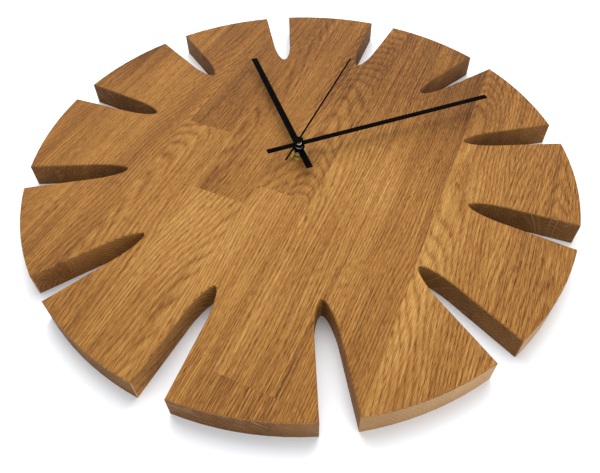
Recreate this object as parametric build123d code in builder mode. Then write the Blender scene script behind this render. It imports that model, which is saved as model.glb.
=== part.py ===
from build123d import *
from math import atan2, cos, pi, radians, sin
import os

os.makedirs("parts", exist_ok=True)

# Slotted oak wall clock with a battery quartz movement let into its back.
# Frame: the origin is where the wall screw's axis meets the wall. +Z is 12 o'clock, +X is 3 o'clock
# and -Y points into the room. A standoff is a distance from the wall. A depth is a distance behind
# the front of the movement's case, so it grows towards the wall.

# ---------------------------------------------------------------- oak board (mm)
face_diameter = 380.0
face_thickness = 18.0
edge_break = 0.6                    # chamfer on the front arrises
slot_count = 12
slot_tip_radius = 121.0             # clock centre to the blind end of a slot
slot_nose_length = 21.5             # rounded end of a slot
slot_waist_width = 13.9             # where the rounded end stops
slot_mouth_width = 20.6             # at the rim
slot_nose_fullness = 1.15

# ---------------------------------------------------------------- keyhole hanger
hang_drop = 84.0                    # wall screw down to the clock centre
hanger_width = 16.0
hanger_height = 46.0
hanger_thickness = 1.5
hanger_corner = 3.0
hanger_slot_width = 4.6
hanger_entry_diameter = 9.4
hanger_travel = 11.0                # entry hole up to the end of the slot
hanger_space_width = 13.0           # room for the wall screw's head behind the plate
hanger_space_depth = 7.0
hanger_rise = 5.5                   # plate's middle up to the end of the slot
hanger_screw_inset = 5.5            # end of the plate to a screw
hanger_screw_diameter = 3.5
hanger_screw_length = 12.0
hanger_screw_point = 3.0
hanger_screw_tip_diameter = 0.6
hanger_screw_head_diameter = 6.4
hanger_screw_head_height = 1.2
hanger_screw_drive_width = 0.9
hanger_screw_drive_span = 3.6
hanger_screw_drive_depth = 0.7
hanger_fit = 0.2                    # gap round the plate in its rebate

# ---------------------------------------------------------------- movement case
movement_depth = 15.0
movement_corner = 3.0
movement_recess = 0.1               # movement below the back of the board
pocket_clearance = 1.0
pocket_corner = 4.0
case_wall = 1.2
case_floor = 1.5
bay_floor = 0.6
battery_clearance = 0.2             # round the battery in its bay
train_clearance = 0.25              # minute wheel to the partition below it
spring_room = 2.1                   # length of the battery's spring when it is in use
partition_thickness = 0.8
cover_thickness = 1.8
cover_fit = 0.15
post_diameter = 2.8
cover_post_inset = 2.2              # corner posts, in from the case's inner walls
latch_width = 6.0
latch_reach = 0.8
latch_height = 0.7
latch_fit = 0.2
pivot_boss_diameter = 2.4
pivot_depth = 1.0

# ---------------------------------------------------------------- stem, washer, nut, gasket
gasket_thickness = 0.5
gasket_diameter = 24.0
stem_diameter = 8.0
stem_bore = 5.2
stem_flange_diameter = 13.0
stem_flange_thickness = 0.8
stem_proud = 0.7                    # stem in front of the nut
stem_hole_clearance = 0.3
thread_pitch = 0.75
thread_depth = 0.35
thread_fit = 0.05
washer_diameter = 12.0
washer_thickness = 0.5
washer_edge_break = 0.12
nut_across_flats = 10.0
nut_thickness = 2.2
nut_corner_break = 0.45

# ---------------------------------------------------------------- hands
hand_thickness = 0.5
hour_hand_height = 7.6              # middle of the blade in front of the board
hour_hand_length = 116.0            # clock centre to tip
hour_hand_tail = 22.3
hour_hand_width = 4.7
hour_hub_diameter = 8.0
hour_collet_diameter = 6.8
hour_collet_length = 2.8
hour_hand_angle = -42.9             # clockwise from 12 o'clock
minute_hand_height = 10.45
minute_hand_length = 151.5
minute_hand_tail = 23.4
minute_hand_width = 3.9
minute_hub_diameter = 7.6
minute_collet_diameter = 6.2
minute_collet_length = 1.6
minute_hand_angle = 46.1
second_hand_thickness = 0.3
second_hand_height = 14.3
second_hand_length = 107.0
second_hand_tail = 22.5
second_hand_width = 1.3
second_hub_diameter = 6.0
second_tube_diameter = 2.8
second_tube_length = 3.0
second_hand_angle = -0.8

# ---------------------------------------------------------------- gear train
rotor_pinion_teeth = 6
intermediate_teeth = 30
intermediate_pinion_teeth = 10
second_teeth = 60
second_pinion_teeth = 8
third_teeth = 60
third_pinion_teeth = 8
minute_teeth = 64
cannon_teeth = 12
motion_teeth = 36
motion_pinion_teeth = 10
hour_teeth = 40
setting_teeth = 12
fine_module = 0.30                  # rotor pinion to second wheel
third_module = 0.36                 # second pinion to third wheel
minute_module = 0.34                # third pinion to minute wheel
motion_module = 0.40                # cannon pinion to motion wheel and setting pinion
hour_module = 0.384                 # motion pinion to hour wheel
third_direction = 120.0             # degrees from 3 o'clock, anticlockwise, clock centre to arbor
motion_direction = -12.0
setting_direction = 36.0            # from the motion post
intermediate_direction = 45.0
rotor_direction = 60.0              # from the intermediate arbor
gear_face = 1.0
tooth_root_depth = 1.15             # in modules, from the pitch circle
tooth_tip_height = 0.8
tooth_root_share = 0.28             # half of a tooth's root, as a share of the pitch
tooth_tip_share = 0.12
layer_gap = 0.3
plate_thickness = 1.0
plate_left = 20.0
plate_right = 22.0
plate_below = 10.4
plate_above = 14.2
plate_corner = 2.0
plate_post_inset = 2.2
arbor_diameter = 0.8
running_fit = 0.05                  # radial gap of anything that turns
seat_fit = 0.02                     # radial gap of anything that is pressed on
hour_tube_diameter = 5.1
minute_tube_diameter = 3.5
second_arbor_diameter = 1.2
tube_end = 0.2                      # tube in front of the hand that it carries
motion_post_diameter = 1.6
knob_shaft_diameter = 3.0
knob_pivot_diameter = 1.5
knob_pivot_length = 0.8
knob_diameter = 9.0
knob_thickness = 1.1
knob_well_depth = 1.3
knob_well_clearance = 0.7
knob_ribs = 24
knob_rib_depth = 0.3
knob_rib_width = 0.5

# ---------------------------------------------------------------- step motor and electrics
magnet_diameter = 6.0
magnet_thickness = 1.8
stator_thickness = 0.8
stator_gap = 0.5
stator_left = 4.5
stator_right = 24.0
stator_body_right = 16.0
stator_below = 7.6
stator_shelf = 17.5
stator_bridge = 13.5                # underside of the bridge to the right leg
stator_leg = 4.0
coil_clearance = 2.0                # coil's flanges down from the contact strip
core_width = 3.0
coil_length = 9.0
coil_width = 5.6
coil_depth = 3.4
coil_corner = 1.2
bobbin_flange_thickness = 0.7
bobbin_rim = 0.3
bobbin_wall = 0.4
core_fit = 0.05
circuit_thickness = 1.0
circuit_right = 2.0
circuit_height = 12.0
circuit_corner = 6.0
circuit_post_inset = 2.6
crystal_diameter = 2.0
crystal_length = 6.0
crystal_edge = 0.4
crystal_across = 6.0                # from the board's middle
crystal_up = 3.0
chip_diameter = 6.0
chip_thickness = 1.1
chip_edge = 0.7
chip_across = 1.0                   # from the board's middle
chip_down = 1.5
battery_diameter = 14.2
battery_can_length = 49.0
battery_nub_diameter = 5.2
battery_nub_length = 1.5
battery_edge = 0.6
contact_thickness = 0.4
contact_width = 3.0
contact_pad_width = 9.0
contact_pad_height = 10.0
contact_gap = 0.05
contact_tab = 4.0                   # contact strip over the edge of the circuit board
spring_width = 5.0
spring_half_height = 3.2
spring_half_crown = 1.1

# ---------------------------------------------------------------- levels (standoffs and depths)
face_radius = face_diameter / 2
case_back = movement_recess
case_front = case_back + movement_depth
pocket_floor = case_front + gasket_thickness
washer_front = face_thickness + washer_thickness
nut_front = washer_front + nut_thickness
stem_front = nut_front + stem_proud
hour_hand_back = face_thickness + hour_hand_height - hand_thickness / 2
minute_hand_back = face_thickness + minute_hand_height - hand_thickness / 2
second_hand_back = face_thickness + second_hand_height - second_hand_thickness / 2
hour_tube_front = hour_hand_back + hand_thickness + tube_end
minute_tube_front = minute_hand_back + hand_thickness + tube_end
second_arbor_front = second_hand_back - tube_end

hour_layer = case_floor + layer_gap
motion_layer = hour_layer + gear_face + layer_gap
minute_layer = motion_layer + gear_face + layer_gap
plate_layer = minute_layer + gear_face + layer_gap
third_layer = plate_layer + plate_thickness + layer_gap
second_layer = third_layer + gear_face + layer_gap
intermediate_layer = second_layer + gear_face + layer_gap
rotor_layer = intermediate_layer + gear_face + layer_gap
stator_layer = rotor_layer + (magnet_thickness - stator_thickness) / 2
cover_layer = movement_depth - cover_thickness
pivot_end = cover_layer + pivot_depth

# ---------------------------------------------------------------- planes and places
# on the section plane x is the radius and -y is the standoff
dial = Plane(origin=(0, 0, -hang_drop), x_dir=(1, 0, 0), z_dir=(0, -1, 0))
from_behind = Plane(origin=(0, 0, -hang_drop), x_dir=(-1, 0, 0), z_dir=(0, 1, 0))
spindle = Axis((0, 0, -hang_drop), (0, -1, 0))
section = Plane(origin=(0, 0, -hang_drop), x_dir=(1, 0, 0), z_dir=(0, 0, 1))


def standoff(distance):
    """The plane this far from the wall. Its x is right and its y is up. Extrusions go into the room."""
    return dial.offset(distance)


def depth(distance):
    """The plane this far behind the front of the movement's case."""
    return dial.offset(case_front - distance)


def around(place, distance, degrees):
    """The point at a distance from a place, in a direction counted anticlockwise from 3 o'clock."""
    return place + Vector(distance * cos(radians(degrees)), distance * sin(radians(degrees)))


def centres(module, teeth, other_teeth):
    """The centre distance of two meshed gears."""
    return module * (teeth + other_teeth) / 2


centre = Vector(0, 0)
third_place = around(centre, centres(minute_module, minute_teeth, third_pinion_teeth), third_direction)
motion_place = around(centre, centres(motion_module, cannon_teeth, motion_teeth), motion_direction)
setting_place = around(motion_place, centres(motion_module, motion_teeth, setting_teeth), setting_direction)
intermediate_place = around(
    centre, centres(fine_module, second_teeth, intermediate_pinion_teeth), intermediate_direction
)
rotor_place = around(
    intermediate_place, centres(fine_module, intermediate_teeth, rotor_pinion_teeth), rotor_direction
)

# the battery and its contacts set the width of the case, and the battery and the minute wheel its height
strip_room = contact_thickness + 2 * contact_gap
inner_side = (battery_can_length + battery_nub_length + spring_room) / 2 + strip_room
movement_width = 2 * (inner_side + case_wall)
bay_height = battery_diameter + 2 * battery_clearance
chamber_bottom = -minute_module * (minute_teeth / 2 + tooth_tip_height) - train_clearance
bay_top = chamber_bottom - partition_thickness
bay_bottom = bay_top - bay_height
movement_height = 2 * (case_wall - bay_bottom)
chamber_top = -bay_bottom
battery_place = Vector(0, (bay_bottom + bay_top) / 2)
battery_depth = bay_floor + (movement_depth - bay_floor) / 2
plate_middle = Vector((plate_right - plate_left) / 2, (plate_above - plate_below) / 2)
circuit_layer = stator_layer
circuit_left = strip_room - inner_side
circuit_top = chamber_top - strip_room
circuit_bottom = circuit_top - circuit_height
coil_height = circuit_top - coil_clearance - bobbin_rim - coil_width / 2
circuit_middle = Vector((circuit_left + circuit_right) / 2, (circuit_bottom + circuit_top) / 2)
cover_posts = [
    Vector(side * (inner_side - cover_post_inset), height)
    for side in (-1, 1)
    for height in (chamber_bottom + cover_post_inset, chamber_top - cover_post_inset)
]
plate_posts = [
    Vector(across, up)
    for across in (plate_post_inset - plate_left, plate_right - plate_post_inset)
    for up in (plate_post_inset - plate_below, plate_above - plate_post_inset)
]
stator_posts = [
    Vector(stator_left + post_diameter / 2, stator_shelf - post_diameter / 2),
    Vector(stator_right - stator_leg / 2, (stator_bridge + stator_shelf) / 2),
]
circuit_posts = [
    Vector(circuit_left + circuit_post_inset, circuit_bottom + circuit_post_inset),
    Vector(circuit_right - circuit_post_inset, circuit_top - circuit_post_inset),
]


# ---------------------------------------------------------------- shared profiles
def gear_profile(teeth, module, first_tooth=0.0):
    """A gear with short straight-sided teeth. One tooth's middle is at first_tooth, in radians."""
    root = module * (teeth / 2 - tooth_root_depth)
    tip = module * (teeth / 2 + tooth_tip_height)
    pitch = 2 * pi / teeth
    corners = []
    for tooth in range(teeth):
        middle = first_tooth + tooth * pitch
        for radius, share in (
            (root, -tooth_root_share), (tip, -tooth_tip_share), (tip, tooth_tip_share), (root, tooth_root_share)
        ):
            angle = middle + share * pitch
            corners.append((radius * cos(angle), radius * sin(angle)))
    with BuildSketch() as profile:
        with BuildLine():
            Polyline(*corners, close=True)
        make_face()
    return profile.sketch


def meshed(teeth, first_tooth, place, other_teeth, other_place):
    """The first_tooth that puts the other gear in mesh with this one."""
    towards = other_place - place
    line = atan2(towards.Y, towards.X)
    return line + pi - (pi - teeth * (line - first_tooth)) / other_teeth


def hand_profile(length, tail, width, hub_diameter, clockwise):
    """A baton hand with square ends and a round hub, turned clockwise from 12 o'clock, in degrees."""
    with BuildSketch() as profile:
        with Locations((0, (length - tail) / 2)):
            Rectangle(width, length + tail)
        Circle(hub_diameter / 2)
    return Rotation(0, 0, -clockwise) * profile.sketch


def rectangle(left, right, bottom, top, mode=Mode.ADD):
    """Draws a rectangle between these limits in the open sketch."""
    with Locations(((left + right) / 2, (bottom + top) / 2)):
        Rectangle(right - left, top - bottom, mode=mode)


def ring(outer_diameter, inner_diameter):
    """Draws a ring in the open sketch."""
    Circle(outer_diameter / 2)
    Circle(inner_diameter / 2, mode=Mode.SUBTRACT)


def save(name, builder):
    """Labels a piece and writes it to its own file."""
    builder.part.label = name
    export_step(builder.part, f"parts/{name}.step")


# ---------------------------------------------------------------- oak board
with BuildSketch() as slot_profile:
    waist_radius = slot_tip_radius + slot_nose_length
    flare = (slot_mouth_width - slot_waist_width) / 2 / (face_radius - waist_radius)
    outside = face_radius + slot_mouth_width
    half_waist = slot_waist_width / 2
    half_outside = half_waist + flare * (outside - waist_radius)
    with BuildLine():
        Spline(
            (waist_radius, -half_waist), (slot_tip_radius, 0), (waist_radius, half_waist),
            tangents=((-1, flare), (1, flare)),
            tangent_scalars=(slot_nose_fullness, slot_nose_fullness),
        )
        Polyline(
            (waist_radius, half_waist), (outside, half_outside),
            (outside, -half_outside), (waist_radius, -half_waist),
        )
    make_face()

hanger_middle = Vector(0, hang_drop - hanger_rise)
hanger_entry = Vector(0, hang_drop - hanger_travel)
hanger_end = Vector(0, hang_drop)
hanger_screw_places = [
    hanger_middle + Vector(0, side * (hanger_height / 2 - hanger_screw_inset)) for side in (1, -1)
]

with BuildPart() as clock_face:
    with BuildSketch(standoff(0)):
        Circle(face_radius)
        with PolarLocations(0, slot_count):
            add(slot_profile.sketch, mode=Mode.SUBTRACT)
    extrude(amount=face_thickness)
    chamfer(clock_face.faces().sort_by(Axis.Y)[0].edges(), edge_break)
    # pocket for the movement, open to the wall, and the hole for its stem
    with BuildSketch(standoff(0)):
        RectangleRounded(
            movement_width + 2 * pocket_clearance, movement_height + 2 * pocket_clearance, pocket_corner
        )
    extrude(amount=pocket_floor, mode=Mode.SUBTRACT)
    with BuildSketch(standoff(pocket_floor)):
        Circle(stem_diameter / 2 + stem_hole_clearance)
    extrude(amount=face_thickness - pocket_floor, mode=Mode.SUBTRACT)
    # rebate for the hanger plate, room for the wall screw's head, and pilot holes
    with BuildSketch(standoff(0)):
        with Locations(hanger_middle):
            RectangleRounded(
                hanger_width + 2 * hanger_fit, hanger_height + 2 * hanger_fit, hanger_corner + hanger_fit
            )
    extrude(amount=hanger_thickness, mode=Mode.SUBTRACT)
    with BuildSketch(standoff(hanger_thickness)):
        with Locations((hanger_entry + hanger_end) / 2):
            SlotCenterToCenter(hanger_travel, hanger_space_width, rotation=90)
    extrude(amount=hanger_space_depth, mode=Mode.SUBTRACT)
    with BuildSketch(standoff(hanger_thickness)):
        with Locations(*hanger_screw_places):
            Circle(hanger_screw_diameter / 2 + seat_fit)
    extrude(amount=hanger_screw_length - hanger_thickness, mode=Mode.SUBTRACT)
save("clock_face", clock_face)

# ---------------------------------------------------------------- keyhole hanger and its screws
with BuildPart() as hanger_plate:
    with BuildSketch(standoff(0)):
        with Locations(hanger_middle):
            RectangleRounded(hanger_width, hanger_height, hanger_corner)
        with Locations(hanger_entry):
            Circle(hanger_entry_diameter / 2, mode=Mode.SUBTRACT)
        with Locations((hanger_entry + hanger_end) / 2):
            SlotCenterToCenter(hanger_travel, hanger_slot_width, rotation=90, mode=Mode.SUBTRACT)
    extrude(amount=hanger_thickness)
    with Locations(from_behind):
        with Locations(*hanger_screw_places):
            CounterSinkHole(
                hanger_screw_diameter / 2 + seat_fit, hanger_screw_head_diameter / 2 + seat_fit,
                depth=hanger_thickness,
            )
save("hanger_plate", hanger_plate)

with BuildPart() as hanger_screws:
    with Locations(from_behind):
        with Locations(*hanger_screw_places):
            Cone(
                hanger_screw_diameter / 2, hanger_screw_head_diameter / 2, hanger_screw_head_height,
                align=(Align.CENTER, Align.CENTER, Align.MAX),
            )
            Cylinder(
                hanger_screw_diameter / 2, hanger_screw_length - hanger_screw_point,
                align=(Align.CENTER, Align.CENTER, Align.MAX),
            )
    with Locations(from_behind.offset(hanger_screw_point - hanger_screw_length)):
        with Locations(*hanger_screw_places):
            Cone(
                hanger_screw_tip_diameter / 2, hanger_screw_diameter / 2, hanger_screw_point,
                align=(Align.CENTER, Align.CENTER, Align.MAX),
            )
    with BuildSketch(standoff(0)):
        with Locations(*hanger_screw_places):
            Rectangle(hanger_screw_drive_span, hanger_screw_drive_width)
            Rectangle(hanger_screw_drive_width, hanger_screw_drive_span)
    extrude(amount=hanger_screw_drive_depth, mode=Mode.SUBTRACT)
save("hanger_screws", hanger_screws)

# ---------------------------------------------------------------- case of the movement
strip_front = circuit_layer + circuit_thickness / 2 - contact_width
latch_place = Vector(inner_side, (chamber_bottom + chamber_top) / 2)
latch_layer = cover_layer + (cover_thickness - latch_height) / 2

with BuildPart() as front_case:
    with BuildSketch(depth(movement_depth)):
        RectangleRounded(movement_width, movement_height, movement_corner)
    extrude(amount=movement_depth)
    with BuildSketch(depth(movement_depth)):
        rectangle(-inner_side, inner_side, chamber_bottom, chamber_top)
    extrude(amount=movement_depth - case_floor, mode=Mode.SUBTRACT)
    with BuildSketch(depth(movement_depth)):
        rectangle(-inner_side, inner_side, bay_bottom, bay_top)
    extrude(amount=movement_depth - bay_floor, mode=Mode.SUBTRACT)
    # the partition lets the two contact strips through at its ends
    with BuildSketch(depth(movement_depth)):
        for side in (-1, 1):
            ends = sorted((side * inner_side, side * (inner_side - strip_room)))
            rectangle(*ends, bay_top, chamber_bottom)
    extrude(amount=movement_depth - strip_front + contact_gap, mode=Mode.SUBTRACT)
    # posts for the cover, the middle plate, the stator and the circuit board
    for places, top in (
        (cover_posts, cover_layer),
        (plate_posts, plate_layer),
        (stator_posts, stator_layer),
        (circuit_posts, circuit_layer),
    ):
        with BuildSketch(depth(top)):
            with Locations(*places):
                Circle(post_diameter / 2)
        extrude(amount=top - case_floor)
    # post of the motion wheel, and the boss of the third arbor
    with BuildSketch(depth(minute_layer - layer_gap / 2)):
        with Locations(motion_place):
            Circle(motion_post_diameter / 2)
        with Locations(third_place):
            Circle(pivot_boss_diameter / 2)
    extrude(amount=minute_layer - layer_gap / 2 - case_floor)
    with BuildSketch(depth(minute_layer - layer_gap / 2)):
        with Locations(third_place):
            Circle(arbor_diameter / 2 + running_fit)
    extrude(amount=pivot_depth, mode=Mode.SUBTRACT)
    with BuildSketch(depth(case_floor)):
        with Locations(setting_place):
            Circle(knob_pivot_diameter / 2 + running_fit)
    extrude(amount=knob_pivot_length, mode=Mode.SUBTRACT)
    # seat of the stem's flange, and the hole for the stem
    with BuildSketch(depth(case_floor)):
        Circle(stem_flange_diameter / 2 + seat_fit)
    extrude(amount=stem_flange_thickness, mode=Mode.SUBTRACT)
    with BuildSketch(depth(case_floor)):
        Circle(stem_diameter / 2 + seat_fit)
    extrude(amount=case_floor, mode=Mode.SUBTRACT)
    # windows for the cover's latches
    with BuildSketch(depth(latch_layer + latch_height + latch_fit)):
        for side in (-1, 1):
            with Locations((side * (inner_side + case_wall / 2), latch_place.Y)):
                Rectangle(case_wall, latch_width + 2 * latch_fit)
    extrude(amount=latch_height + 2 * latch_fit, mode=Mode.SUBTRACT)
save("front_case", front_case)

with BuildPart() as back_cover:
    with BuildSketch(depth(movement_depth)):
        rectangle(
            cover_fit - inner_side, inner_side - cover_fit,
            chamber_bottom + cover_fit, chamber_top - cover_fit,
        )
    extrude(amount=cover_thickness)
    with BuildSketch(depth(latch_layer + latch_height)):
        for side in (-1, 1):
            ends = sorted((side * (inner_side - cover_fit), side * (inner_side + latch_reach)))
            rectangle(*ends, latch_place.Y - latch_width / 2, latch_place.Y + latch_width / 2)
    extrude(amount=latch_height)
    with BuildSketch(depth(pivot_end + layer_gap)):
        with Locations(centre, third_place, intermediate_place, rotor_place):
            Circle(arbor_diameter / 2 + running_fit)
    extrude(amount=pivot_depth + layer_gap, mode=Mode.SUBTRACT)
    with BuildSketch(depth(movement_depth)):
        with Locations(setting_place):
            Circle(knob_diameter / 2 + knob_well_clearance)
    extrude(amount=knob_well_depth, mode=Mode.SUBTRACT)
    with BuildSketch(depth(movement_depth)):
        with Locations(setting_place):
            Circle(knob_shaft_diameter / 2 + running_fit)
    extrude(amount=cover_thickness, mode=Mode.SUBTRACT)
save("back_cover", back_cover)

with BuildPart() as middle_plate:
    with BuildSketch(depth(plate_layer + plate_thickness)):
        with Locations(plate_middle):
            RectangleRounded(plate_left + plate_right, plate_below + plate_above, plate_corner)
        with Locations(third_place, intermediate_place, rotor_place):
            Circle(arbor_diameter / 2 + running_fit, mode=Mode.SUBTRACT)
        Circle(second_arbor_diameter / 2 + running_fit, mode=Mode.SUBTRACT)
        with Locations(setting_place):
            Circle(knob_shaft_diameter / 2 + running_fit, mode=Mode.SUBTRACT)
    extrude(amount=plate_thickness)
save("middle_plate", middle_plate)

# ---------------------------------------------------------------- stem and what clamps the movement
flange_back = case_front - case_floor
flange_front = flange_back + stem_flange_thickness
with BuildPart() as threaded_stem:
    with BuildSketch(section):
        turns = int((stem_front - pocket_floor) / thread_pitch)
        crests = [stem_front - turn * thread_pitch for turn in range(turns + 1)]
        outline = [(stem_bore / 2, -flange_back), (stem_flange_diameter / 2, -flange_back)]
        outline += [(stem_flange_diameter / 2, -flange_front), (stem_diameter / 2, -flange_front)]
        for crest in reversed(crests):
            outline.append((stem_diameter / 2, -crest))
            if crest < stem_front:
                outline.append((stem_diameter / 2 - thread_depth, -crest - thread_pitch / 2))
        outline.append((stem_bore / 2, -stem_front))
        with BuildLine():
            Polyline(*outline, close=True)
        make_face()
    revolve(axis=spindle)
save("threaded_stem", threaded_stem)

with BuildPart() as gasket:
    with BuildSketch(standoff(case_front)):
        ring(gasket_diameter, stem_diameter + 2 * stem_hole_clearance)
    extrude(amount=gasket_thickness)
save("gasket", gasket)

with BuildPart() as washer:
    with BuildSketch(standoff(face_thickness)):
        ring(washer_diameter, stem_diameter + 2 * thread_fit)
    extrude(amount=washer_thickness)
    chamfer(washer.faces().sort_by(Axis.Y)[0].outer_wire().edges(), washer_edge_break)
save("washer", washer)

with BuildPart() as mounting_nut:
    corner_radius = nut_across_flats / 2 / cos(pi / 6)
    with BuildSketch(section):
        with BuildLine():
            Polyline(
                (0, -washer_front), (corner_radius - nut_corner_break, -washer_front),
                (corner_radius, -washer_front - nut_corner_break),
                (corner_radius, -nut_front + nut_corner_break),
                (corner_radius - nut_corner_break, -nut_front), (0, -nut_front), close=True,
            )
        make_face()
    revolve(axis=spindle)
    with BuildSketch(standoff(washer_front)):
        RegularPolygon(nut_across_flats / 2, 6, major_radius=False)
        Circle(stem_diameter / 2 + thread_fit, mode=Mode.SUBTRACT)
    extrude(amount=nut_thickness, mode=Mode.INTERSECT)
save("mounting_nut", mounting_nut)

# ---------------------------------------------------------------- hands
with BuildPart() as hour_hand:
    with BuildSketch(standoff(hour_hand_back)):
        add(hand_profile(
            hour_hand_length, hour_hand_tail, hour_hand_width, hour_hub_diameter, hour_hand_angle
        ))
        Circle(hour_tube_diameter / 2 + seat_fit, mode=Mode.SUBTRACT)
    extrude(amount=hand_thickness)
save("hour_hand", hour_hand)

with BuildPart() as hour_collet:
    with BuildSketch(standoff(hour_hand_back - hour_collet_length)):
        ring(hour_collet_diameter, hour_tube_diameter + 2 * seat_fit)
    extrude(amount=hour_collet_length)
save("hour_collet", hour_collet)

with BuildPart() as minute_hand:
    with BuildSketch(standoff(minute_hand_back)):
        add(hand_profile(
            minute_hand_length, minute_hand_tail, minute_hand_width, minute_hub_diameter, minute_hand_angle
        ))
        Circle(minute_tube_diameter / 2 + seat_fit, mode=Mode.SUBTRACT)
    extrude(amount=hand_thickness)
save("minute_hand", minute_hand)

with BuildPart() as minute_collet:
    with BuildSketch(standoff(minute_hand_back - minute_collet_length)):
        ring(minute_collet_diameter, minute_tube_diameter + 2 * seat_fit)
    extrude(amount=minute_collet_length)
save("minute_collet", minute_collet)

with BuildPart() as second_hand:
    with BuildSketch(standoff(second_hand_back)):
        add(hand_profile(
            second_hand_length, second_hand_tail, second_hand_width, second_hub_diameter, second_hand_angle
        ))
    extrude(amount=second_hand_thickness)
save("second_hand", second_hand)

with BuildPart() as second_tube:
    with BuildSketch(standoff(second_hand_back - second_tube_length)):
        ring(second_tube_diameter, second_arbor_diameter + 2 * seat_fit)
    extrude(amount=second_tube_length)
save("second_tube", second_tube)

# ---------------------------------------------------------------- wheels on the clock's centre
cannon_first = meshed(motion_teeth, 0, motion_place, cannon_teeth, centre)
with BuildPart() as hour_wheel:
    with BuildSketch(depth(hour_layer + gear_face)):
        add(gear_profile(hour_teeth, hour_module))
    extrude(amount=gear_face)
    with BuildSketch(depth(hour_layer)):
        Circle(hour_tube_diameter / 2)
    extrude(amount=hour_tube_front - (case_front - hour_layer))
    with BuildSketch(depth(hour_layer + gear_face)):
        Circle(minute_tube_diameter / 2 + running_fit)
    extrude(amount=hour_tube_front - (case_front - hour_layer - gear_face), mode=Mode.SUBTRACT)
save("hour_wheel", hour_wheel)

with BuildPart() as minute_wheel:
    with BuildSketch(depth(minute_layer + gear_face)):
        add(gear_profile(minute_teeth, minute_module))
    extrude(amount=gear_face)
    with BuildSketch(depth(minute_layer)):
        add(gear_profile(cannon_teeth, motion_module, cannon_first))
    extrude(amount=minute_layer - motion_layer)
    with BuildSketch(depth(motion_layer)):
        Circle(minute_tube_diameter / 2)
    extrude(amount=minute_tube_front - (case_front - motion_layer))
    with BuildSketch(depth(minute_layer + gear_face)):
        Circle(second_arbor_diameter / 2 + running_fit)
    extrude(amount=minute_tube_front - (case_front - minute_layer - gear_face), mode=Mode.SUBTRACT)
save("minute_wheel", minute_wheel)

second_pinion_first = meshed(third_teeth, 0, third_place, second_pinion_teeth, centre)
with BuildPart() as second_wheel:
    with BuildSketch(depth(second_layer + gear_face)):
        add(gear_profile(second_teeth, fine_module))
    extrude(amount=gear_face)
    with BuildSketch(depth(second_layer)):
        add(gear_profile(second_pinion_teeth, third_module, second_pinion_first))
    extrude(amount=second_layer - third_layer)
    with BuildSketch(depth(third_layer)):
        Circle(second_arbor_diameter / 2)
    extrude(amount=second_arbor_front - (case_front - third_layer))
    with BuildSketch(depth(pivot_end)):
        Circle(arbor_diameter / 2)
    extrude(amount=pivot_end - second_layer)
save("second_wheel", second_wheel)

# ---------------------------------------------------------------- wheels beside the centre
motion_pinion_first = meshed(hour_teeth, 0, centre, motion_pinion_teeth, motion_place)
with BuildPart() as motion_wheel:
    with BuildSketch(depth(motion_layer + gear_face)):
        with Locations(motion_place):
            add(gear_profile(motion_teeth, motion_module))
    extrude(amount=gear_face)
    with BuildSketch(depth(motion_layer)):
        with Locations(motion_place):
            add(gear_profile(motion_pinion_teeth, hour_module, motion_pinion_first))
    extrude(amount=motion_layer - hour_layer)
    with BuildSketch(depth(motion_layer + gear_face)):
        with Locations(motion_place):
            Circle(motion_post_diameter / 2 + running_fit)
    extrude(amount=motion_layer + gear_face - hour_layer, mode=Mode.SUBTRACT)
save("motion_wheel", motion_wheel)

third_pinion_first = meshed(minute_teeth, 0, centre, third_pinion_teeth, third_place)
third_front = minute_layer - layer_gap / 2 - pivot_depth + layer_gap
with BuildPart() as third_wheel:
    with BuildSketch(depth(third_layer + gear_face)):
        with Locations(third_place):
            add(gear_profile(third_teeth, third_module))
    extrude(amount=gear_face)
    with BuildSketch(depth(minute_layer + gear_face)):
        with Locations(third_place):
            add(gear_profile(third_pinion_teeth, minute_module, third_pinion_first))
    extrude(amount=gear_face)
    with BuildSketch(depth(pivot_end)):
        with Locations(third_place):
            Circle(arbor_diameter / 2)
    extrude(amount=pivot_end - third_front)
save("third_wheel", third_wheel)

intermediate_pinion_first = meshed(
    second_teeth, 0, centre, intermediate_pinion_teeth, intermediate_place
)
plate_pivot = plate_layer + layer_gap / 2
with BuildPart() as intermediate_wheel:
    with BuildSketch(depth(intermediate_layer + gear_face)):
        with Locations(intermediate_place):
            add(gear_profile(intermediate_teeth, fine_module))
    extrude(amount=gear_face)
    with BuildSketch(depth(intermediate_layer)):
        with Locations(intermediate_place):
            add(gear_profile(intermediate_pinion_teeth, fine_module, intermediate_pinion_first))
    extrude(amount=intermediate_layer - second_layer)
    with BuildSketch(depth(pivot_end)):
        with Locations(intermediate_place):
            Circle(arbor_diameter / 2)
    extrude(amount=pivot_end - plate_pivot)
save("intermediate_wheel", intermediate_wheel)

rotor_pinion_first = meshed(intermediate_teeth, 0, intermediate_place, rotor_pinion_teeth, rotor_place)
with BuildPart() as rotor_pinion:
    with BuildSketch(depth(rotor_layer)):
        with Locations(rotor_place):
            add(gear_profile(rotor_pinion_teeth, fine_module, rotor_pinion_first))
    extrude(amount=rotor_layer - intermediate_layer)
    with BuildSketch(depth(pivot_end)):
        with Locations(rotor_place):
            Circle(arbor_diameter / 2)
    extrude(amount=pivot_end - plate_pivot)
save("rotor_pinion", rotor_pinion)

with BuildPart() as rotor_magnet:
    with BuildSketch(depth(rotor_layer + magnet_thickness)):
        with Locations(rotor_place):
            ring(magnet_diameter, arbor_diameter + 2 * seat_fit)
    extrude(amount=magnet_thickness)
save("rotor_magnet", rotor_magnet)

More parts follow.
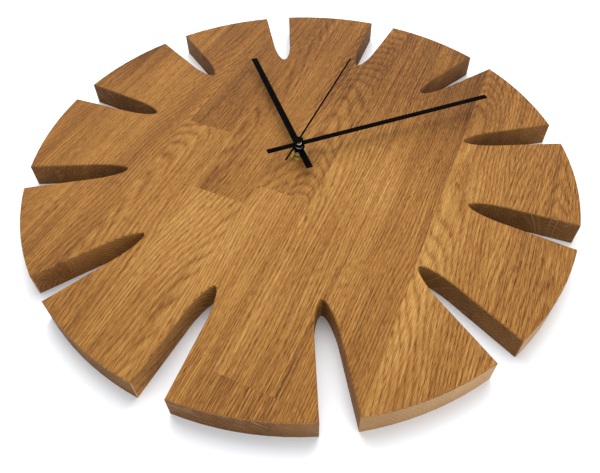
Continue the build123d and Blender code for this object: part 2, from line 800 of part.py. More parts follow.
setting_first = meshed(motion_teeth, 0, motion_place, setting_teeth, setting_place)
knob_front = movement_depth - (knob_well_depth + knob_thickness) / 2
with BuildPart() as setting_knob:
    with BuildSketch(depth(motion_layer + gear_face)):
        with Locations(setting_place):
            add(gear_profile(setting_teeth, motion_module, setting_first))
    extrude(amount=gear_face)
    with BuildSketch(depth(knob_front)):
        with Locations(setting_place):
            Circle(knob_shaft_diameter / 2)
    extrude(amount=knob_front - motion_layer)
    with BuildSketch(depth(motion_layer)):
        with Locations(setting_place):
            Circle(knob_pivot_diameter / 2)
    extrude(amount=motion_layer - case_floor + knob_pivot_length - layer_gap / 2)
    with BuildSketch(depth(knob_front + knob_thickness)):
        with Locations(setting_place):
            Circle(knob_diameter / 2)
            with PolarLocations(knob_diameter / 2, knob_ribs):
                Rectangle(2 * knob_rib_depth, knob_rib_width, mode=Mode.SUBTRACT)
    extrude(amount=knob_thickness)
save("setting_knob", setting_knob)

# ---------------------------------------------------------------- step motor
core_layer = stator_layer - stator_thickness
coil_middle = (stator_left + stator_right) / 2
with BuildPart() as stator:
    with BuildSketch(depth(stator_layer + stator_thickness)):
        rectangle(stator_left, stator_body_right, stator_below, stator_shelf)
        rectangle(stator_left, stator_right, stator_bridge, stator_shelf)
        for left in (stator_left, stator_right - stator_leg):
            rectangle(left, left + stator_leg, stator_bridge, coil_height + core_width / 2)
        with Locations(rotor_place):
            Circle(magnet_diameter / 2 + stator_gap, mode=Mode.SUBTRACT)
        with Locations(intermediate_place):
            Circle(arbor_diameter / 2 + stator_gap, mode=Mode.SUBTRACT)
    extrude(amount=stator_thickness)
save("stator", stator)

with BuildPart() as coil_core:
    with BuildSketch(depth(stator_layer)):
        rectangle(stator_left, stator_right, coil_height - core_width / 2, coil_height + core_width / 2)
    extrude(amount=stator_thickness)
save("coil_core", coil_core)


def across_coil(x):
    """The plane across the coil at this x. Its x runs with depth and its y runs with height."""
    core_middle = case_front - core_layer - stator_thickness / 2
    return Plane(origin=(x, -core_middle, coil_height - hang_drop), x_dir=(0, -1, 0), z_dir=(1, 0, 0))


coil_left = coil_middle - coil_length / 2
tunnel_depth = stator_thickness + 2 * core_fit
tunnel_height = core_width + 2 * core_fit
with BuildPart() as coil_bobbin:
    with BuildSketch(across_coil(coil_left)):
        Rectangle(tunnel_depth + 2 * bobbin_wall, tunnel_height + 2 * bobbin_wall)
        Rectangle(tunnel_depth, tunnel_height, mode=Mode.SUBTRACT)
    extrude(amount=coil_length)
    for left in (coil_left - bobbin_flange_thickness, coil_left + coil_length):
        with BuildSketch(across_coil(left)):
            RectangleRounded(coil_depth + 2 * bobbin_rim, coil_width + 2 * bobbin_rim, coil_corner)
            Rectangle(tunnel_depth, tunnel_height, mode=Mode.SUBTRACT)
        extrude(amount=bobbin_flange_thickness)
save("coil_bobbin", coil_bobbin)

with BuildPart() as coil_winding:
    with BuildSketch(across_coil(coil_left + core_fit)):
        RectangleRounded(coil_depth, coil_width, coil_corner)
        Rectangle(
            tunnel_depth + 2 * (bobbin_wall + core_fit), tunnel_height + 2 * (bobbin_wall + core_fit),
            mode=Mode.SUBTRACT,
        )
    extrude(amount=coil_length - 2 * core_fit)
save("coil_winding", coil_winding)

# ---------------------------------------------------------------- circuit board and what it carries
crystal_place = circuit_middle + Vector(crystal_across, crystal_up)
chip_place = circuit_middle - Vector(chip_across, chip_down)
with BuildPart() as circuit_board:
    with BuildSketch(depth(circuit_layer + circuit_thickness)):
        with BuildLine():
            Polyline(
                (circuit_left, circuit_top - circuit_height), (circuit_right, circuit_top - circuit_height),
                (circuit_right, circuit_top), (circuit_left + circuit_corner, circuit_top),
                (circuit_left, circuit_top - circuit_corner), close=True,
            )
        make_face()
    extrude(amount=circuit_thickness)
save("circuit_board", circuit_board)

with BuildPart() as driver_chip:
    with BuildSketch(depth(circuit_layer)):
        with Locations(chip_place):
            Circle(chip_diameter / 2)
    extrude(amount=chip_thickness)
    fillet(driver_chip.faces().sort_by(Axis.Y)[0].edges(), chip_edge)
save("driver_chip", driver_chip)

crystal_standoff = case_front - circuit_layer + crystal_diameter / 2
with BuildPart() as quartz_crystal:
    with BuildSketch(Plane(
        origin=(crystal_place.X, -crystal_standoff, crystal_place.Y - hang_drop), z_dir=(1, 0, 0)
    )):
        Circle(crystal_diameter / 2)
    extrude(amount=crystal_length / 2, both=True)
    fillet(quartz_crystal.faces().sort_by(Axis.X)[-1].edges(), crystal_edge)
save("quartz_crystal", quartz_crystal)

# ---------------------------------------------------------------- battery and its contacts
nub_tip = inner_side - strip_room
can_right = nub_tip - battery_nub_length
can_left = can_right - battery_can_length


def across_battery(x):
    """The plane across the battery at this x."""
    axis_standoff = case_front - battery_depth
    return Plane(
        origin=(x, -axis_standoff, battery_place.Y - hang_drop), x_dir=(0, -1, 0), z_dir=(1, 0, 0)
    )


with BuildPart() as battery:
    with BuildSketch(across_battery(can_left)):
        Circle(battery_diameter / 2)
    extrude(amount=battery_can_length)
    fillet(battery.edges().filter_by(GeomType.CIRCLE), battery_edge)
    with BuildSketch(across_battery(can_right)):
        Circle(battery_nub_diameter / 2)
    extrude(amount=battery_nub_length)
    fillet(battery.faces().sort_by(Axis.X)[-1].edges(), battery_edge)
save("battery", battery)


def draw_pad(side):
    """Draws the end plate that touches the battery, side -1 at the left or 1 at the right."""
    outer = side * (inner_side - contact_gap)
    ends = sorted((outer, outer - side * contact_thickness))
    rectangle(*ends, battery_place.Y - contact_pad_height / 2, battery_place.Y + contact_pad_height / 2)


with BuildPart() as positive_contact:
    with BuildSketch(depth(battery_depth + contact_pad_width / 2)):
        draw_pad(1)
    extrude(amount=contact_pad_width)
    with BuildSketch(depth(strip_front + contact_width)):
        outer = inner_side - contact_gap
        top = chamber_top - contact_gap
        rectangle(outer - contact_thickness, outer, battery_place.Y, top)
        rectangle(circuit_right - contact_tab, outer, top - contact_thickness, top)
    extrude(amount=contact_width)
save("positive_contact", positive_contact)

with BuildPart() as negative_contact:
    with BuildSketch(depth(battery_depth + contact_pad_width / 2)):
        draw_pad(-1)
    extrude(amount=contact_pad_width)
    with BuildSketch(depth(strip_front + contact_width)):
        outer = contact_gap - inner_side
        rectangle(outer, outer + contact_thickness, battery_place.Y, circuit_middle.Y)
    extrude(amount=contact_width)
    # bowed spring that presses on the battery's flat end
    with BuildSketch(depth(battery_depth + spring_width / 2)):
        root = outer + contact_thickness / 2
        crown = can_left - contact_gap
        with Locations((0, battery_place.Y)):
            with BuildLine():
                Polyline(
                    (root, spring_half_height), (crown, spring_half_crown), (crown, -spring_half_crown),
                    (root, -spring_half_height), close=True,
                )
            make_face()
            offset(amount=-contact_thickness, mode=Mode.SUBTRACT)
    extrude(amount=spring_width)
save("negative_contact", negative_contact)
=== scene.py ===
# %% [markdown]
# # Slotted oak wall clock
#
# A round board of solid oak with twelve saw-cut slots for the hours, black baton hands and a small
# battery movement let into its back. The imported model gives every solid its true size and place, so
# this lesson is about light and surfaces. Lengths are in metres: +Z points to 12 o'clock, +X to
# 3 o'clock and -Y into the room, and the wall is the plane y = 0.

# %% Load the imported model
import math

import bmesh
import bpy
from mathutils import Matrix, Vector


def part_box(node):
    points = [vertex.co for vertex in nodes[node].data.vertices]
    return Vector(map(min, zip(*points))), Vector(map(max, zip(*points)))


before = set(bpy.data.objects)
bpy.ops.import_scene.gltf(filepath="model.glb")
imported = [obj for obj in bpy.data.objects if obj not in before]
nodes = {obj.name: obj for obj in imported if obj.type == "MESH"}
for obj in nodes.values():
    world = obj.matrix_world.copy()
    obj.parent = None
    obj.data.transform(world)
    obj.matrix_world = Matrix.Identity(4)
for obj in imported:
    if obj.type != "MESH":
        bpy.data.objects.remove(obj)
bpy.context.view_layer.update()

# %% [markdown]
# The hands turn about the middle of the dial. The hour tube is round and centred on that axis, so the
# middle of its box gives the axis, and the back of the board gives the wall.

# %% Where the clock is
MM = 0.001
face_low, face_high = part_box("clock_face")
collet_low, collet_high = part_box("hour_collet")
dial = Vector(((collet_low[0] + collet_high[0]) / 2, 0.0, (collet_low[2] + collet_high[2]) / 2))
face_radius = (face_high[2] - face_low[2]) / 2
print("dial centre", [round(c / MM, 2) for c in dial], "radius mm", round(face_radius / MM, 1))

# %% [markdown]
# Colours are written as the hex values that a colour picker shows, and shaders work in linear light,
# so one function turns the first into the second. Another adds a shader node with its settings and
# its links, and every material below is made with it. A setting that is the same all over a surface
# goes straight on the shader's own socket.

# %% Colour and node helpers
def linear(hex_colour):
    """An sRGB hex colour as linear red, green, blue and alpha."""
    channels = [int(hex_colour[i:i + 2], 16) / 255 for i in (1, 3, 5)]
    return [*(c / 12.92 if c <= 0.04045 else ((c + 0.055) / 1.055) ** 2.4 for c in channels), 1.0]


def add(tree, kind, settings=None, links=None, stops=None):
    """A new node. A setting names a property or an input, and a link brings an output to an input."""
    node = tree.nodes.new("ShaderNode" + kind)
    for name, value in (settings or {}).items():
        if isinstance(name, str) and hasattr(node, name):
            setattr(node, name, value)
        else:
            node.inputs[name].default_value = value
    for name, source in (links or {}).items():
        tree.links.new(source, node.inputs[name])
    if stops:
        ramp = node.color_ramp
        while len(ramp.elements) < len(stops):
            ramp.elements.new(1.0)
        for element, (place, colour) in zip(ramp.elements, stops):
            element.position = place
            element.color = colour
    return node


def grey(value):
    """A grey for a ramp that carries a number."""
    return [value, value, value, 1.0]


def new_material(name):
    """A material with only an output, as (material, node tree)."""
    material = bpy.data.materials.new(name)
    material.use_nodes = True
    tree = material.node_tree
    tree.nodes.clear()
    return material, tree


def in_millimetres(tree):
    """Where a point of the surface is, in mm from the dial's centre."""
    place = add(tree, "TexCoord")
    centred = add(tree, "VectorMath", {"operation": "SUBTRACT", 1: dial}, {0: place.outputs["Object"]})
    scaled = add(tree, "VectorMath", {"operation": "SCALE", "Scale": 1 / MM}, {0: centred.outputs[0]})
    return scaled.outputs[0]


def finish_material(tree, settings, links):
    """Ends a material with a Principled shader."""
    shader = add(tree, "BsdfPrincipled", settings, links)
    add(tree, "OutputMaterial", links={"Surface": shader.outputs[0]})


def dress(material, *names):
    """Gives CAD nodes a material."""
    for name in names:
        data = nodes[name].data
        data.materials.clear()
        data.materials.append(material)


print("mid grey in linear light", round(linear("#808080")[0], 3))

# %% [markdown]
# ## Wall, light and camera
#
# The clock hangs flat on a pale wall, and the slots let the wall show through. A plain sheet behind
# the board would be enough for the front. This one has an opening in the board's own outline, and
# its paint is clear from behind, so that a view of the back shows the movement and the hanger.
#
# The outline comes from the board itself. Where the flat back meets the sides, an edge belongs to
# just one of the back's faces, and those edges form a loop that can be followed corner by corner.

# %% The outline of the board's back
SAME = 0.01 * MM                    # nearer than this, two corners are one, or a corner is on the wall


def back_outline():
    """The corners of the board's outline on the wall, in order."""
    mesh = bmesh.new()
    mesh.from_mesh(nodes["clock_face"].data)
    bmesh.ops.remove_doubles(mesh, verts=mesh.verts[:], dist=SAME)
    flat = [face for face in mesh.faces if all(abs(corner.co.y) < SAME for corner in face.verts)]
    used = {}
    for face in flat:
        for edge in face.edges:
            used[edge] = used.get(edge, 0) + 1
    border = [edge for edge, count in used.items() if count == 1]
    following = {}
    for edge in border:
        a, b = edge.verts
        following.setdefault(a, []).append(b)
        following.setdefault(b, []).append(a)
    start = max(following, key=lambda v: (v.co - dial).length)
    loop, last, here = [start.co.copy()], start, following[start][0]
    while here is not start:
        loop.append(here.co.copy())
        last, here = here, next(v for v in following[here] if v is not last)
    mesh.free()
    return loop


outline = back_outline()
print("outline corners", len(outline))

# %% [markdown]
# The wall is filled between two loops of corners: that outline, and a wide square round it.

# %% The wall
WALL_REACH = 6.0                    # m from the dial to each side, past the edge of any view
mesh = bmesh.new()
edges = []
SQUARE = ((-1, -1), (1, -1), (1, 1), (-1, 1))
wide_square = [dial + Vector((x, 0, z)) * WALL_REACH for x, z in SQUARE]
for loop in (outline, wide_square):
    corners = [mesh.verts.new((c.x, 0, c.z)) for c in loop]
    edges += [mesh.edges.new((a, b)) for a, b in zip(corners, corners[1:] + corners[:1])]
bmesh.ops.triangle_fill(mesh, edges=edges, use_beauty=True, use_dissolve=False, normal=(0, -1, 0))
for face in mesh.faces:
    if face.normal.y > 0:
        face.normal_flip()
wall_mesh = bpy.data.meshes.new("wall")
mesh.to_mesh(wall_mesh)
mesh.free()
wall = bpy.data.objects.new("wall", wall_mesh)
bpy.context.collection.objects.link(wall)
print("wall faces", len(wall_mesh.polygons))

# %% [markdown]
# Wall paint is chalky and has no shine. A diffuse shader is all it takes, and a transparent one
# takes over where a ray meets the sheet from behind. The white is a little cool, because light that
# bounces off the oak warms the shadows beside it.

# %% Wall paint
wall_paint, tree = new_material("pale_wall_paint")
paint = add(tree, "BsdfDiffuse", {"Color": linear("#F1F4F8")})
clear = add(tree, "BsdfTransparent")
side = add(tree, "NewGeometry")
mix = add(tree, "MixShader", links={0: side.outputs["Backfacing"], 1: paint.outputs[0], 2: clear.outputs[0]})
add(tree, "OutputMaterial", links={"Surface": mix.outputs[0]})
wall_mesh.materials.append(wall_paint)
print("wall paint nodes", len(tree.nodes))

# %% [markdown]
# The light is a product photographer's. A pale room gives even light from all round. A broad soft
# box high on the 11 o'clock side is the key light: it lays the soft shadows of the slots on the
# wall. Its own mirror image would turn the black hands grey, so its reflection is switched off, as a
# polarising filter does on a real lens. A smaller box low on the 4 o'clock side lights the rims that
# face it, and one behind the wall is there for the back.

# %% Lights
world = bpy.data.worlds.new("pale_room")
bpy.context.scene.world = world
world.use_nodes = True
room_light = world.node_tree.nodes["Background"]
room_light.inputs["Color"].default_value = linear("#FBFBFB")
room_light.inputs["Strength"].default_value = 0.78


def soft_box(name, clock_degrees, out, distance, size, watts):
    """A square light that faces the dial: degrees clockwise from 12 and out from the wall, m and W."""
    turn, rise = math.radians(clock_degrees), math.radians(out)
    direction = Vector((math.sin(turn) * math.cos(rise), -math.sin(rise), math.cos(turn) * math.cos(rise)))
    data = bpy.data.lights.new(name, "AREA")
    data.shape = "SQUARE"
    data.size = size
    data.energy = watts
    light = bpy.data.objects.new(name, data)
    light.location = dial + direction * distance
    light.rotation_mode = "QUATERNION"
    light.rotation_quaternion = direction.to_track_quat("Z", "Y")
    bpy.context.collection.objects.link(light)
    return light


key_box = soft_box("key_box", clock_degrees=335, out=58, distance=1.6, size=1.7, watts=35)
key_box.visible_glossy = False
soft_box("low_box", clock_degrees=122, out=20, distance=1.6, size=1.1, watts=9)
soft_box("back_box", clock_degrees=330, out=-50, distance=1.5, size=1.2, watts=14)
print("soft boxes", sorted(light.name for light in bpy.data.lights))

# %% [markdown]
# The camera stands close below the clock on its 5 o'clock side and looks up across the dial, which
# is why the near slots look so much wider than the far ones. The small vertical shift moves the
# picture on the sensor as a view camera does, and keeps the board's edges square.

# %% Camera
camera_data = bpy.data.cameras.new("camera")
camera_data.sensor_width = 36.0
camera_data.lens = 33.778
camera_data.shift_y = -0.0775
camera = bpy.data.objects.new("camera", camera_data)
camera.location = Vector((122.63, -293.70, -351.44)) * MM
camera.rotation_euler = [math.radians(a) for a in (132.950, -23.896, 0.733)]
bpy.context.collection.objects.link(camera)
bpy.context.scene.camera = camera
bpy.context.scene.view_settings.view_transform = "Standard"
print("camera to dial mm", round((camera.location - dial).length / MM))

# %% [markdown]
# ## Oiled oak
#
# The board is European oak: planed staves, glued edge to edge into a panel, then sawn, sanded and
# rubbed with oil. Oil leaves the pores open, so the surface is satin and warm, with no film of
# lacquer on it, and each stave keeps its own tone.
#
# A picture of wood could be wrapped round the board, but it would stretch on the rim and break at
# every slot. Wood is solid, so here its pattern fills space: growth rings lie round a pith, pores
# and fibres run along the grain and rays run out from the pith. Whatever surface the saw leaves then
# shows its own cut through the same wood, stripes or arches on the face and end grain in the slots.
#
# A stave is one row in each of the three tables below. A colour ramp that holds each colour over one
# step is a handy table in a shader: its place on the ramp is the stave's number, and red, green, blue
# and alpha carry four numbers.

# %% Staves of the panel
STAVE = 39.0                        # width of a stave, in mm
FIRST_EDGE = -170.0                 # where one glue line lies, from the dial's centre, in mm
SPAN = 400.0                        # the ramp carries a length as its share of this, in mm
NO_JOINT = -SPAN                    # a stave with no butt joint on the board
# from left to right: height of the butt joint in mm, tone below and above it, where 1 is the oak's
# middle tone, and how much darker the stave gets towards the top, partly its own tone and partly
# painted shade of light that is weaker towards the top
TONES = [
    (NO_JOINT, 0.93, 0.93, 0.70),
    (NO_JOINT, 1.05, 1.05, 0.14),
    (NO_JOINT, 1.04, 1.04, 0.16),
    (2, 1.16, 0.81, 0.00),
    (-57, 1.29, 0.99, 0.12),
    (-39, 1.28, 1.09, 0.30),
    (-167, 1.12, 1.20, 0.42),
    (NO_JOINT, 1.14, 1.14, 0.42),
    (NO_JOINT, 1.24, 1.24, 0.34),
    (NO_JOINT, 1.09, 1.09, 0.10),
    (NO_JOINT, 1.05, 1.05, 0.05),
]
# how far the pith lies to the right of the stave's middle, in mm, below and above the joint, and how
# arched the figure is there, from 0 for straight stripes to 1
PITHS = [
    (50, 50, 0.10, 0.10),
    (-55, -55, 0.10, 0.10),
    (30, 30, 0.40, 0.40),
    (-18, 45, 0.60, 0.10),
    (24, -30, 0.42, 0.20),
    (-60, 14, 0.00, 0.90),
    (50, -44, 0.10, 0.15),
    (60, 60, 0.00, 0.00),
    (-26, -26, 0.40, 0.40),
    (18, 18, 0.40, 0.40),
    (-50, -50, 0.20, 0.20),
]
# how much paler the right edge of the stave is than its left edge, at the bottom and at the top
SLOPES = [
    (0.00, 0.00),
    (0.32, 0.36),
    (-0.05, 0.00),
    (0.08, 0.04),
    (-0.05, 0.12),
    (-0.24, 0.00),
    (-0.12, 0.05),
    (-0.16, -0.30),
    (-0.46, -0.02),
    (-0.18, -0.06),
    (0.00, 0.00),
]


def steps(rows):
    """Ramp stops that hold one row across each stave, from the leftmost on."""
    return [(i / len(TONES), list(row)) for i, row in enumerate(rows)]


left_edge = FIRST_EDGE - STAVE
print("staves", len(TONES), "from mm", round(left_edge), "to", round(left_edge + STAVE * len(TONES)))

# %% [markdown]
# A point's distance across the board, divided by the width of a stave and rounded down, is the
# number of its stave. The number picks a row of each table, and the point's height picks the part
# below or above the butt joint.

# %% Which stave a point is in
oak, tree = new_material("oiled_oak_staves")
local = in_millimetres(tree)
axes = add(tree, "SeparateXYZ", links={0: local})
across, deep, along = (axes.outputs[i] for i in range(3))
stave = add(tree, "Math", {"operation": "MULTIPLY_ADD", 1: 1 / STAVE, 2: -left_edge / STAVE}, {0: across})
number = add(tree, "Math", {"operation": "FLOOR"}, {0: stave.outputs[0]})
on_ramp = add(tree, "Math", {"operation": "MULTIPLY_ADD", 1: 1 / len(TONES), 2: 0.5 / len(TONES)},
              {0: number.outputs[0]})
tones = add(tree, "ValToRGB", links={0: on_ramp.outputs[0]}, stops=steps(
    (below / 2, above / 2, 0.5 + joint / SPAN / 2, fade / 2) for joint, below, above, fade in TONES))
piths = add(tree, "ValToRGB", links={0: on_ramp.outputs[0]}, stops=steps(
    (0.5 + low / SPAN, 0.5 + high / SPAN, *arches) for low, high, *arches in PITHS))
slopes = add(tree, "ValToRGB", links={0: on_ramp.outputs[0]}, stops=steps(
    (0.5 + bottom / 2, 0.5 + top / 2, 0, 1) for bottom, top in SLOPES))
for ramp in (tones, piths, slopes):
    ramp.color_ramp.interpolation = "CONSTANT"
tone_parts = add(tree, "SeparateColor", links={0: tones.outputs[0]})
pith_parts = add(tree, "SeparateColor", links={0: piths.outputs[0]})
slope_parts = add(tree, "SeparateColor", links={0: slopes.outputs[0]})
height = add(tree, "Math", {"operation": "MULTIPLY_ADD", 1: 0.5 / SPAN, 2: 0.5}, {0: along})
upper = add(tree, "Math", {"operation": "GREATER_THAN"}, {0: height.outputs[0], 1: tone_parts.outputs[2]})
tone = add(tree, "Mix", links={0: upper.outputs[0], 2: tone_parts.outputs[0], 3: tone_parts.outputs[1]})
pith_place = add(tree, "Mix", links={0: upper.outputs[0], 2: pith_parts.outputs[0], 3: pith_parts.outputs[1]})
arched = add(tree, "Mix", links={0: upper.outputs[0], 2: pith_parts.outputs[2], 3: piths.outputs["Alpha"]})
butt_joints = [row[0] for row in TONES if row[0] != NO_JOINT]
print("butt joints at mm", butt_joints)

# %% [markdown]
# Every length of stave comes from another place in a log. White noise of its number moves it
# thousands of millimetres through the pattern, so that no two look alike.

# %% Its own piece of the log
JUMP = 5000.0                       # mm, the furthest that a length of stave is moved
SEED = 3.7                          # another one gives another set of boards
stave_key = add(tree, "CombineXYZ", {2: SEED}, {0: number.outputs[0], 1: upper.outputs[0]})
chance = add(tree, "TexWhiteNoise", {"noise_dimensions": "3D"}, {"Vector": stave_key.outputs[0]})
shift = add(tree, "VectorMath", {"operation": "SCALE", "Scale": JUMP}, {0: chance.outputs["Color"]})
in_log = add(tree, "VectorMath", {"operation": "ADD"}, {0: local, 1: shift.outputs[0]})
print("lengths of stave", len(TONES) + len(butt_joints), "each moved up to m", JUMP * MM)

# %% [markdown]
# A ring is a year. Its number is the distance from the pith over the width of a year's growth. The
# pith of a straight-grained stave lies off to one side, and its rings cross the face as stripes. The
# pith of an arched one lies behind the face and leans away from it towards the top, so that the face
# cuts its rings into nested arches that point up. Slow noise makes the pith sway as a trunk does, and
# quicker noise makes some years wide and others narrow.
#
# Oak is ring-porous: spring wood is dark and open, summer wood is pale and dense. A ramp over each
# year gives the share of spring wood.

# %% Growth rings
RING = 1.5                          # mm of growth in a year, in slow-grown straight wood
WIDE_RING = 2.5                     # and in fast-grown arched wood
BEHIND = 34.0                       # mm behind the wall to the pith, before it sways
LEAN = (0.02, 0.20)                 # mm that a straight and an arched pith lean for each mm up
SWAY = (45.0, 45.0, 150.0)          # mm across, deep and along over which the pith sways
SWAY_ACROSS = (5.0, 18.0)           # mm that a straight and an arched pith sway to the side
SWAY_SHIFT = -5.0                   # mm, so that it sways both ways
SWAY_DEEP = 26.0                    # mm that it sways towards the room
WEATHER = (6.0, 6.0, 100.0)         # mm over which good years give way to bad ones
WEATHER_YEARS = (1.3, 0.85)         # years by which that moves the rings, straight and arched
SEASONS = [(0.0, 0.55), (0.10, 1.0), (0.38, 0.35), (0.75, 0.0), (1.0, 0.55)]
within = add(tree, "Math", {"operation": "FRACT"}, {0: stave.outputs[0]})
from_middle = add(tree, "Math", {"operation": "MULTIPLY_ADD", 1: STAVE, 2: -STAVE / 2},
                  {0: within.outputs[0]})
pith = add(tree, "Math", {"operation": "MULTIPLY_ADD", 1: SPAN, 2: -SPAN / 2}, {0: pith_place.outputs[0]})
sway_point = add(tree, "VectorMath", {"operation": "DIVIDE", 1: SWAY}, {0: in_log.outputs[0]})
sway = add(tree, "TexNoise", {"Scale": 1.0, "Detail": 1.0}, {0: sway_point.outputs[0]})
sway_parts = add(tree, "SeparateColor", links={0: sway.outputs["Color"]})
sway_size = add(tree, "MapRange", {"To Min": SWAY_ACROSS[0], "To Max": SWAY_ACROSS[1]},
                {0: arched.outputs[0]})
sway_across = add(tree, "Math", {"operation": "MULTIPLY_ADD", 2: SWAY_SHIFT},
                  {0: sway_parts.outputs[0], 1: sway_size.outputs[0]})
from_pith = add(tree, "Math", {"operation": "SUBTRACT"}, {0: from_middle.outputs[0], 1: pith.outputs[0]})
ring_across = add(tree, "Math", {"operation": "ADD"}, {0: from_pith.outputs[0], 1: sway_across.outputs[0]})
lean = add(tree, "MapRange", {"To Min": -LEAN[0], "To Max": -LEAN[1]}, {0: arched.outputs[0]})
leant = add(tree, "Math", {"operation": "MULTIPLY_ADD"}, {0: along, 1: lean.outputs[0], 2: deep})
swayed = add(tree, "Math", {"operation": "MULTIPLY_ADD", 1: SWAY_DEEP},
             {0: sway_parts.outputs[1], 2: leant.outputs[0]})
ring_deep = add(tree, "Math", {"operation": "SUBTRACT", 1: BEHIND}, {0: swayed.outputs[0]})
ring_place = add(tree, "CombineXYZ", links={0: ring_across.outputs[0], 1: ring_deep.outputs[0]})
radius = add(tree, "VectorMath", {"operation": "LENGTH"}, {0: ring_place.outputs[0]})
growth = add(tree, "MapRange", {"To Min": RING, "To Max": WIDE_RING}, {0: arched.outputs[0]})
years = add(tree, "Math", {"operation": "DIVIDE"}, {0: radius.outputs["Value"], 1: growth.outputs[0]})
weather_point = add(tree, "VectorMath", {"operation": "DIVIDE", 1: WEATHER}, {0: in_log.outputs[0]})
weather = add(tree, "TexNoise", {"Scale": 1.0, "Detail": 2.0}, {0: weather_point.outputs[0]})
moved = add(tree, "MapRange", {"To Min": WEATHER_YEARS[0], "To Max": WEATHER_YEARS[1]},
            {0: arched.outputs[0]})
year = add(tree, "Math", {"operation": "MULTIPLY_ADD"},
           {0: weather.outputs[0], 1: moved.outputs[0], 2: years.outputs[0]})
season = add(tree, "Math", {"operation": "FRACT"}, {0: year.outputs[0]})
spring = add(tree, "ValToRGB", links={0: season.outputs[0]},
             stops=[(part, grey(share)) for part, share in SEASONS])
print("rings in a stave", round(STAVE / RING), "where slow and", round(STAVE / WIDE_RING), "where fast")

# %% [markdown]
# Five layers of noise, each stretched along the grain, give the wood its fineness. A pore of oak is
# a quarter of a millimetre wide and some millimetres long, and it is drawn about that size. Fibres
# are a fiftieth of a millimetre thick, far too fine to show, so bundles of them are drawn a third of
# a millimetre thick. Flecks are where the plane cut a bundle short. Stripes and clouds are the slow
# changes of colour over some years and over a hand's breadth. Pores crowd into the spring wood, so
# that a ring is a line of small dashes.

# %% Pores, fibres, flecks, stripes and clouds
MARKS = {                           # size of one in mm, across, deep and along, and how it is broken up
    "pore": ((0.28, 0.28, 7.0), {"Detail": 2.0, "Roughness": 0.6}),
    "fibre": ((0.36, 0.36, 90.0), {"Detail": 0.0}),
    "fleck": ((0.26, 0.26, 5.0), {"Detail": 1.0}),
    "stripe": ((4.0, 9.0, 260.0), {"Detail": 3.0, "Roughness": 0.6}),
    "cloud": ((15.0, 15.0, 70.0), {"Detail": 2.0}),
}
PORE_LEVEL = (0.62, 0.50)           # noise above this is a pore, in summer and in spring wood
PORE_EDGE = 0.09                    # and it is fully dark this much higher
marks = {}
for kind, (size, breaks) in MARKS.items():
    stretched = add(tree, "VectorMath", {"operation": "DIVIDE", 1: size}, {0: in_log.outputs[0]})
    noise = add(tree, "TexNoise", {"Scale": 1.0, **breaks}, {0: stretched.outputs[0]})
    marks[kind] = noise.outputs[0]
pore_floor = add(tree, "MapRange", {"To Min": PORE_LEVEL[0], "To Max": PORE_LEVEL[1]},
                 {0: spring.outputs[0]})
pore_height = add(tree, "Math", {"operation": "SUBTRACT"}, {0: marks["pore"], 1: pore_floor.outputs[0]})
pores = add(tree, "MapRange", {"From Max": PORE_EDGE}, {0: pore_height.outputs[0]})
for kind in ("fibre", "pore"):
    print(kind, "widths in a ring", round(RING / MARKS[kind][0][0], 1))

# %% [markdown]
# Rays are thin ribbons that stand out from the pith like spokes. On the face they are short dashes,
# a little darker, and across end grain they are long pale lines. The pattern is laid out by the
# way round the pith, the distance from it and the height.

# %% Rays
RAY = (0.42, 60.0, 4.0)             # mm round the pith, out from it and along the grain
RAY_REACH = 38.0                    # mm from the pith where a ray is that thick
RAY_LEVEL = (0.64, 0.68)            # noise above the first starts a ray, and at the second it is full
bearing = add(tree, "Math", {"operation": "ARCTAN2"}, {0: ring_deep.outputs[0], 1: ring_across.outputs[0]})
round_pith = add(tree, "Math", {"operation": "MULTIPLY", 1: RAY_REACH}, {0: bearing.outputs[0]})
ray_place = add(tree, "CombineXYZ", links={0: round_pith.outputs[0], 1: radius.outputs["Value"], 2: along})
ray_point = add(tree, "VectorMath", {"operation": "DIVIDE", 1: RAY}, {0: ray_place.outputs[0]})
ray = add(tree, "TexNoise", {"Scale": 1.0, "Detail": 1.0}, {0: ray_point.outputs[0]})
rays = add(tree, "MapRange", {"From Min": RAY_LEVEL[0], "From Max": RAY_LEVEL[1]}, {0: ray.outputs[0]})
print("oak nodes so far", len(tree.nodes))

# %% [markdown]
# A surface's own direction tells how it was cut. The face points into the room and was planed. A
# sawn surface points sideways, and the more it points up or down, the more end grain it shows. The
# outer rim was sanded after sawing and takes the light, which the distance from the centre tells
# from the walls of the slots.

# %% How each surface was cut
END_GRAIN = (0.70, 0.95)            # of facing up or down: where end grain starts and where it is full
SAWN = (0.75, 0.35)                 # of facing the room: where a surface stops being planed and is sawn
RIM_FROM = face_radius / MM - 0.4   # mm from the centre
surface = add(tree, "TexCoord")
facing = add(tree, "SeparateXYZ", links={0: surface.outputs["Normal"]})
facing_along = add(tree, "Math", {"operation": "ABSOLUTE"}, {0: facing.outputs[2]})
end_grain = add(tree, "MapRange", {"From Min": END_GRAIN[0], "From Max": END_GRAIN[1]},
                {0: facing_along.outputs[0]})
facing_room = add(tree, "Math", {"operation": "ABSOLUTE"}, {0: facing.outputs[1]})
sawn = add(tree, "MapRange", {"From Min": SAWN[0], "From Max": SAWN[1]}, {0: facing_room.outputs[0]})
flat = add(tree, "VectorMath", {"operation": "MULTIPLY", 1: (1, 0, 1)}, {0: local})
reach = add(tree, "VectorMath", {"operation": "LENGTH"}, {0: flat.outputs[0]})
outer = add(tree, "Math", {"operation": "GREATER_THAN", 1: RIM_FROM}, {0: reach.outputs["Value"]})
rim = add(tree, "Math", {"operation": "MULTIPLY"}, {0: sawn.outputs[0], 1: outer.outputs[0]})
side_rim = add(tree, "Math", {"operation": "SUBTRACT", "use_clamp": True},
               {0: rim.outputs[0], 1: end_grain.outputs[0]})
print("outer rim from mm", round(RIM_FROM, 1))
